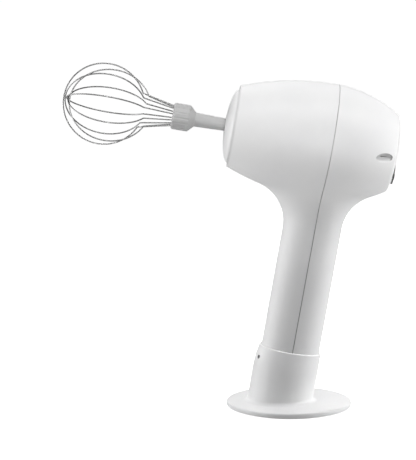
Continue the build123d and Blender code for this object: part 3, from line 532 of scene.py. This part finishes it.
def make_materials():
    """One material for each of the record's slots: its colours, roughness, sizes of colour drift and grain,
    bump and, on metals, its metallic share and the grain's stretch."""
    white = ((0.80, 0.80, 0.805), (0.83, 0.83, 0.83))
    lengthwise = (grain_stretch, 1, 1)
    around = (1, grain_stretch, grain_stretch)
    finishes = {
        "shell_white": (white, (0.44, 0.50), 0.03, 0.0006, 0.05),
        "cap_white": (white, (0.44, 0.50), 0.02, 0.0006, 0.05),
        "stand_white": (white, (0.44, 0.50), 0.03, 0.0006, 0.05),
        "pad_rubber": ((grey(0.30), grey(0.36)), (0.75, 0.90), 0.006, 0.0005, 0.4),
        "seal_rubber": ((grey(0.10), grey(0.14)), (0.60, 0.75), 0.004, 0.0003, 0.3),
        "stem_grey": ((grey(0.49), grey(0.53)), (0.42, 0.50), 0.010, 0.0004, 0.1),
        "whisk_wire": ((grey(0.35), grey(0.43)), (0.40, 0.48), 0.010, 0.0003, 0.02, 1.0),
        "drive_steel": ((grey(0.52), grey(0.60)), (0.25, 0.42), 0.004, 0.0003, 0.2, 1.0, lengthwise),
        "motor_steel": ((grey(0.56), grey(0.64)), (0.28, 0.42), 0.012, 0.0006, 0.2, 1.0, lengthwise),
        "port_steel": ((grey(0.58), grey(0.66)), (0.25, 0.35), 0.003, 0.0003, 0.2, 1.0),
        "screw_steel": ((grey(0.26), grey(0.34)), (0.30, 0.45), 0.002, 0.0002, 0.3, 1.0),
        "armature_iron": ((grey(0.20), grey(0.28)), (0.40, 0.60), 0.004, 0.0004, 0.3, 1.0, around),
        "magnet": ((grey(0.10), grey(0.17)), (0.60, 0.80), 0.002, 0.0003, 0.5),
        "bronze": (((0.60, 0.42, 0.23), (0.68, 0.50, 0.30)), (0.35, 0.55), 0.003, 0.0003, 0.4, 1.0),
        "copper": (((0.72, 0.40, 0.20), (0.80, 0.48, 0.27)), (0.25, 0.40), 0.003, 0.0003, 0.3, 1.0),
        "gear_plastic": (((0.78, 0.77, 0.72), (0.84, 0.83, 0.79)), (0.45, 0.60), 0.005, 0.0004, 0.2),
        "frame_plastic": ((grey(0.050), grey(0.070)), (0.50, 0.65), 0.006, 0.0005, 0.3),
        "bezel_grey": ((grey(0.035), grey(0.050)), (0.38, 0.48), 0.004, 0.0003, 0.15),
        "button_black": ((grey(0.014), grey(0.022)), (0.28, 0.38), 0.003, 0.0003, 0.2),
        "lamp_clear": (((0.84, 0.88, 0.90), (0.90, 0.92, 0.94)), (0.12, 0.22), 0.002, 0.0003, 0.05),
        "board_green": (((0.030, 0.19, 0.07), (0.045, 0.24, 0.10)), (0.35, 0.50), 0.006, 0.0004, 0.1),
        "cell_wrap": (((0.08, 0.26, 0.52), (0.11, 0.31, 0.58)), (0.30, 0.42), 0.020, 0.0008, 0.2),
        "lead_red": (((0.50, 0.025, 0.02), (0.58, 0.04, 0.03)), (0.40, 0.55), 0.004, 0.0003, 0.2),
        "lead_black": ((grey(0.020), grey(0.035)), (0.40, 0.55), 0.004, 0.0003, 0.2),
    }
    made = {slot: surface(f"{slot}_finish", *values) for slot, values in finishes.items()}
    seam_shade(made["shell_white"])
    recess_shade(made["shell_white"])
    joint_shade(made["shell_white"])
    joint_shade(made["cap_white"])
    hole_shade(made["stand_white"])
    rim_light(made["stand_white"])
    white_base(made["bezel_grey"])
    bands(made["armature_iron"], rearward, nose, sheet_pitch, sheet_gap_share, grey(sheet_gap_grey))
    traces(made["board_green"])
    clear(made["lamp_clear"])
    return made


def dress(materials):
    """Give each CAD piece the material of its slot."""
    for part in frame["record"]["subparts"]:
        for holder in frame["nodes"][part["node"]].material_slots:
            holder.material = materials[part["material_slot"]]


def mesh_piece(name, points, faces, body, slot, sharp=sharp_angle):
    """New piece from points and faces, smooth but for its sharp edges, riding on a body."""
    mesh = bpy.data.meshes.new(name)
    mesh.from_pydata(points, [], faces)
    mesh.polygons.foreach_set("use_smooth", [True] * len(mesh.polygons))
    mesh.set_sharp_from_angle(angle=math.radians(sharp))
    mesh.materials.append(materials[slot])
    piece = bpy.data.objects.new(name, mesh)
    bpy.context.scene.collection.objects.link(piece)
    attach(piece, body)
    return piece


def across(axis):
    """Two directions square to an axis and to each other."""
    first = axis.cross(sideways).normalized() if abs(axis.dot(sideways)) < near_parallel else rearward
    return first, axis.cross(first)


def turned(profile, origin, axis, segments, sink=None):
    """Points and faces of a turned form: its profile gives length along the axis and radius, from end to end.
    A sink function may lower a point, by its place across and along the axis."""
    first, second = across(axis)
    points = []
    for along, radius in profile:
        for step in range(segments):
            angle = 2 * math.pi * step / segments
            x, y = radius * math.cos(angle), radius * math.sin(angle)
            drop = sink(x, y, along) if sink else 0.0
            points.append(origin + first * x + second * y + axis * (along - drop))
    faces = []
    for ring in range(len(profile) - 1):
        low, high = ring * segments, (ring + 1) * segments
        for step in range(segments):
            after = (step + 1) % segments
            faces.append((low + step, low + after, high + after, high + step))
    faces.append(tuple(reversed(range(segments))))
    faces.append(tuple(range((len(profile) - 1) * segments, len(profile) * segments)))
    return points, faces


def joined(parts):
    """Points and faces of several forms as one."""
    points, faces = [], []
    for more_points, more_faces in parts:
        start = len(points)
        points += more_points
        faces += [tuple(start + corner for corner in face) for face in more_faces]
    return points, faces


def arc(centre, radius, start, end, steps):
    """Profile points of an arc, by angles in degrees."""
    angles = [math.radians(start + (end - start) * step / steps) for step in range(steps + 1)]
    return [(centre[0] + radius * math.sin(a), centre[1] + radius * math.cos(a)) for a in angles]


def make_button():
    """Push button with a dished face and fine grip rings."""
    (back, front), height, _ = span("speed_button")
    flange_radius = (height[1] - height[0]) / 2
    length = front - back
    profile = [(0, axis_radius), (0, flange_radius)]
    profile += [(button_flange, flange_radius), (button_flange, button_radius)]
    profile += arc((length - button_edge, button_radius - button_edge), button_edge, 0, 90, edge_steps)
    inner = button_radius - 2 * button_edge
    steps = button_ridge_steps * button_ridges
    for step in range(steps + 1):
        radius = inner * (1 - step / steps)
        dish = button_dish * (1 - (radius / inner) ** 2)
        ridge = button_ridge * math.cos(2 * math.pi * button_ridges * step / steps)
        profile.append((length - dish - button_ridge + ridge, max(radius, axis_radius)))
    form = turned(profile, at(back, middle(height)), rearward, turn_segments)
    piece = mesh_piece("push_button", *form, "button", "button_black")
    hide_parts("speed_button")


def make_screws():
    """Housing screws with a thread and a cross recess."""
    (tip, top), height, side = span("housing_screws")
    length = top - screw_head - tip
    root = screw_radius - screw_thread
    profile = [(0, screw_tip_radius), (screw_tip, root)]
    for turn in range(int((length - screw_plain) / screw_pitch)):
        start = thread_start + turn * screw_pitch
        profile += [(start, root), (start + screw_pitch * thread_rise, screw_radius)]
        profile.append((start + screw_pitch * thread_crest, screw_radius))
        profile.append((start + screw_pitch * thread_fall, root))
    profile += [(length, screw_radius), (length, screw_head_radius)]
    profile.append((length + screw_head * screw_rim_share, screw_head_radius))
    for ring in range(1, screw_rings + 1):
        angle = math.pi / 2 * ring / screw_rings
        rise = screw_rim_share + (1 - screw_rim_share) * math.sin(angle)
        profile.append((length + screw_head * rise, max(screw_head_radius * math.cos(angle), axis_radius)))

    def recess(x, y, along):
        reach = math.hypot(x, y)
        in_arm = min(abs(x), abs(y)) < recess_width and reach < recess_reach
        return recess_depth * (1 - recess_slope * reach / recess_reach) if in_arm and along > length else 0.0

    reach = side[1] - screw_head_radius
    places = [at(tip, middle(height), y) for y in (-reach, reach)]
    forms = [turned(profile, place, rearward, turn_segments, recess) for place in places]
    piece = mesh_piece("case_screws", *joined(forms), "mixer", "screw_steel", screw_sharp_angle)
    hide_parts("housing_screws")


def make_pad():
    """Soft pad under the foot, with round ribs that grip the table."""
    low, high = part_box("stand_pad")
    radius = (high.x - low.x) / 2
    height = high.z - low.z
    centre = Vector((0, 0, low.z))
    steps = pad_rib_steps * pad_ribs
    profile = []
    for step in range(steps + 1):
        share = step / steps
        groove = pad_groove * (0.5 - 0.5 * math.cos(2 * math.pi * pad_ribs * share))
        profile.append((groove, max((radius - pad_edge) * share, axis_radius)))
    profile += arc((pad_edge, radius - pad_edge), pad_edge, -90, 0, edge_steps)[1:]
    profile += [(height, radius), (height, axis_radius)]
    form = turned(profile, centre, Vector((0, 0, 1)), pad_segments)
    piece = mesh_piece("foot_pad", *form, "stand", "pad_rubber")
    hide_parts("stand_pad")


def make_cell():
    """Battery cell: wrapped can with a rolled neck under its raised end."""
    place, height, side = span("battery_cell")
    radius = (side[1] - side[0]) / 2
    body = height[1] - height[0] - cell_nub
    neck = body - cell_neck_drop
    half = cell_neck_height / 2
    profile = [(0, axis_radius), (0, radius - cell_wrap_lip), (cell_base_rise, radius - cell_edge)]
    profile += arc((cell_edge, radius - cell_edge), cell_edge, -90, 0, cell_edge_steps)[1:]
    for step in range(cell_neck_steps + 1):
        share = step / cell_neck_steps
        dip = cell_neck * math.sin(math.pi * share)
        profile.append((neck - half + cell_neck_height * share, radius - dip))
    profile += arc((body - cell_edge, radius - cell_edge), cell_edge, 0, 90, cell_edge_steps)
    end = body - cell_end_sink
    top = body + cell_nub
    profile += [(body, radius - cell_wrap_lip), (end, radius - cell_wrap_lip - cell_end_taper)]
    profile += [(end, cell_nub_radius + cell_nub_taper), (top - cell_nub_edge, cell_nub_radius)]
    profile += [(top, cell_nub_radius - cell_nub_edge), (top, axis_radius)]
    form = turned(profile, at(middle(place), height[0]), upward, cell_segments)
    piece = mesh_piece("wrapped_cell", *form, "mixer", "cell_wrap")
    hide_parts("battery_cell")


def make_windings():
    """Three coils of enamelled wire, each round one pole of the armature."""
    front, back = span("motor_armature")[0]
    data = bpy.data.curves.new("rotor_windings", "CURVE")
    data.dimensions = "3D"
    data.bevel_depth = coil_wire
    data.bevel_resolution = coil_roundness
    turn = 360 / coil_poles
    for pole in range(coil_poles):
        slots = [math.radians(turn * pole), math.radians(turn * pole + turn)]
        for layer in range(coil_layers):
            radius = coil_first + coil_pitch * layer
            ends = []
            for slot, sign in zip(slots, (1, -1)):
                y = radius * math.cos(slot) - sign * coil_side * math.sin(slot)
                v = radius * math.sin(slot) + sign * coil_side * math.cos(slot)
                ends.append((y, v))
            overhang = coil_overhang * (1 + coil_overhang_step * (layer % 2))
            (y0, v0), (y1, v1) = ends
            start, end = front - coil_end_gap, back + coil_end_gap
            first, last = front - overhang, back + overhang * coil_back_share
            loop = [(start, v0, y0), (end, v0, y0), (last, v0, y0), (last, v1, y1),
                    (end, v1, y1), (start, v1, y1), (first, v1, y1), (first, v0, y0)]
            spline = data.splines.new("POLY")
            spline.points.add(len(loop) - 1)
            for point, place in zip(spline.points, loop):
                point.co = (*at(*place), 1)
            spline.use_cyclic_u = True
    data.materials.append(materials["copper"])
    coils = bpy.data.objects.new("rotor_windings", data)
    bpy.context.scene.collection.objects.link(coils)
    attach(coils, "rotor")


def block(centre, axes, sizes):
    """Points and faces of a block by its centre, three directions and sizes."""
    points = []
    for corner in range(8):
        offset = Vector((0, 0, 0))
        for bit, (axis, size) in enumerate(zip(axes, sizes)):
            offset += axis * (size / 2 if corner >> bit & 1 else -size / 2)
        points.append(centre + offset)
    faces = [(0, 2, 3, 1), (4, 5, 7, 6), (0, 1, 5, 4), (2, 6, 7, 3), (0, 4, 6, 2), (1, 3, 7, 5)]
    return points, faces


def bevelled(piece, width):
    """Round a piece's edges a little."""
    bevel = piece.modifiers.new("edges", "BEVEL")
    bevel.width = width
    bevel.segments = bevel_segments


def make_board_parts():
    """Two rows of small parts soldered to the control board."""
    (front, _), height, _ = span("control_board")
    axes = (sideways, upward, rearward)
    forms = []
    for row in range(chip_rows):
        v = height[1] - chip_row_drop - chip_row_pitch * row
        for y in (-chip_row_side, chip_row_side):
            forms.append(block(at(front - chip_part[2] / 2, v, y), axes, chip_part))
    piece = mesh_piece("board_parts", *joined(forms), "mixer", "frame_plastic")
    bevelled(piece, chip_bevel)


def make_contacts():
    """Plated contacts on both faces of the charging port's tongue."""
    place, height, side = span("charge_port")
    axes = (sideways, upward, rearward)
    forms = []
    for face in (-1, 1):
        for index in range(contact_count):
            y = middle(side) + contact_pitch * (index - (contact_count - 1) / 2)
            v = height[0] + contact_setback + contact_length / 2
            centre = at(middle(place) + face * port_tongue / 2, v, y)
            forms.append(block(centre, axes, (contact_width, contact_length, 2 * contact_height)))
    piece = mesh_piece("port_contacts", *joined(forms), "mixer", "copper")
    bevelled(piece, contact_height / 2)


make_camera()
make_lights()
make_floor()
materials = make_materials()
dress(materials)
make_button()
make_screws()
make_pad()
make_cell()
make_windings()
make_board_parts()
make_contacts()
